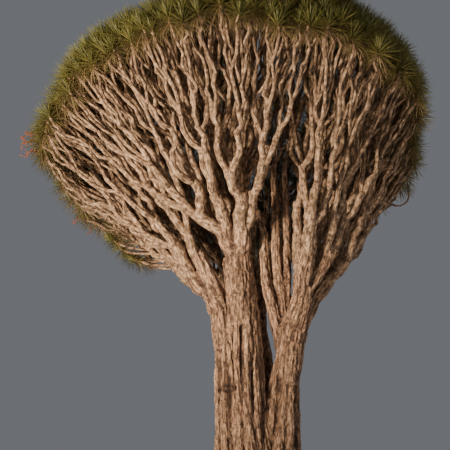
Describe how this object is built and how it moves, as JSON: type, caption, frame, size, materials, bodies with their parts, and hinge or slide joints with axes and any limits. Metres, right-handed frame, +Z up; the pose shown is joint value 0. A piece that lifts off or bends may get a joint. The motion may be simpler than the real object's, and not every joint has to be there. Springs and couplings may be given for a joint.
{
  "type": "dragon blood tree",
  "caption": "Full-grown dragon tree: stout fluted trunk parting into stems, limbs forking in twos under a dome of sword-leaved rosettes.",
  "frame": {"origin": "on the flat cut under the trunk, at ground level, between the feet of the stems", "axes": "+Z up, -Y towards the side that the picture shows, +X to that viewer's right"},
  "size_m": [17.223, 16.6014, 17.8005],
  "materials": {
    "bark": "rough furrowed bark, light tan brown",
    "foliage": "olive green sword leaves, slightly waxy"
  },
  "bodies": {
    "root": {"trunk": "bark", "stem_centre": "bark", "stem_left": "bark", "stem_rear": "bark", "stem_right": "bark", "bough_centre_1": "bark", "bough_centre_1_1": "bark", "bough_centre_1_2": "bark", "bough_centre_2": "bark", "bough_centre_2_1": "bark", "bough_centre_2_2": "bark", "bough_left_1": "bark", "bough_left_1_1": "bark", "bough_left_1_2": "bark", "bough_left_2": "bark", "bough_left_2_1": "bark", "bough_left_2_2": "bark", "bough_rear_1": "bark", "bough_rear_1_1": "bark", "bough_rear_1_2": "bark", "bough_rear_2": "bark", "bough_rear_2_1": "bark", "bough_rear_2_2": "bark", "bough_right_1": "bark", "bough_right_1_1": "bark", "bough_right_1_1_1": "bark", "bough_right_1_1_2": "bark", "bough_right_1_2": "bark", "bough_right_1_2_1": "bark", "bough_right_1_2_2": "bark", "bough_right_2": "bark", "bough_right_2_1": "bark", "bough_right_2_1_1": "bark", "bough_right_2_1_2": "bark", "bough_right_2_2": "bark", "bough_right_2_2_1": "bark", "bough_right_2_2_2": "bark", "foliage_centre_1_1": "foliage", "foliage_centre_1_2": "foliage", "foliage_centre_2_1": "foliage", "foliage_centre_2_2": "foliage", "foliage_left_1_1": "foliage", "foliage_left_1_2": "foliage", "foliage_left_2_1": "foliage", "foliage_left_2_2": "foliage", "foliage_rear_1_1": "foliage", "foliage_rear_1_2": "foliage", "foliage_rear_2_1": "foliage", "foliage_rear_2_2": "foliage", "foliage_right_1_1_1": "foliage", "foliage_right_1_1_2": "foliage", "foliage_right_1_2_1": "foliage", "foliage_right_1_2_2": "foliage", "foliage_right_2_1_1": "foliage", "foliage_right_2_1_2": "foliage", "foliage_right_2_2_1": "foliage", "foliage_right_2_2_2": "foliage"}
  },
  "joints": []
}
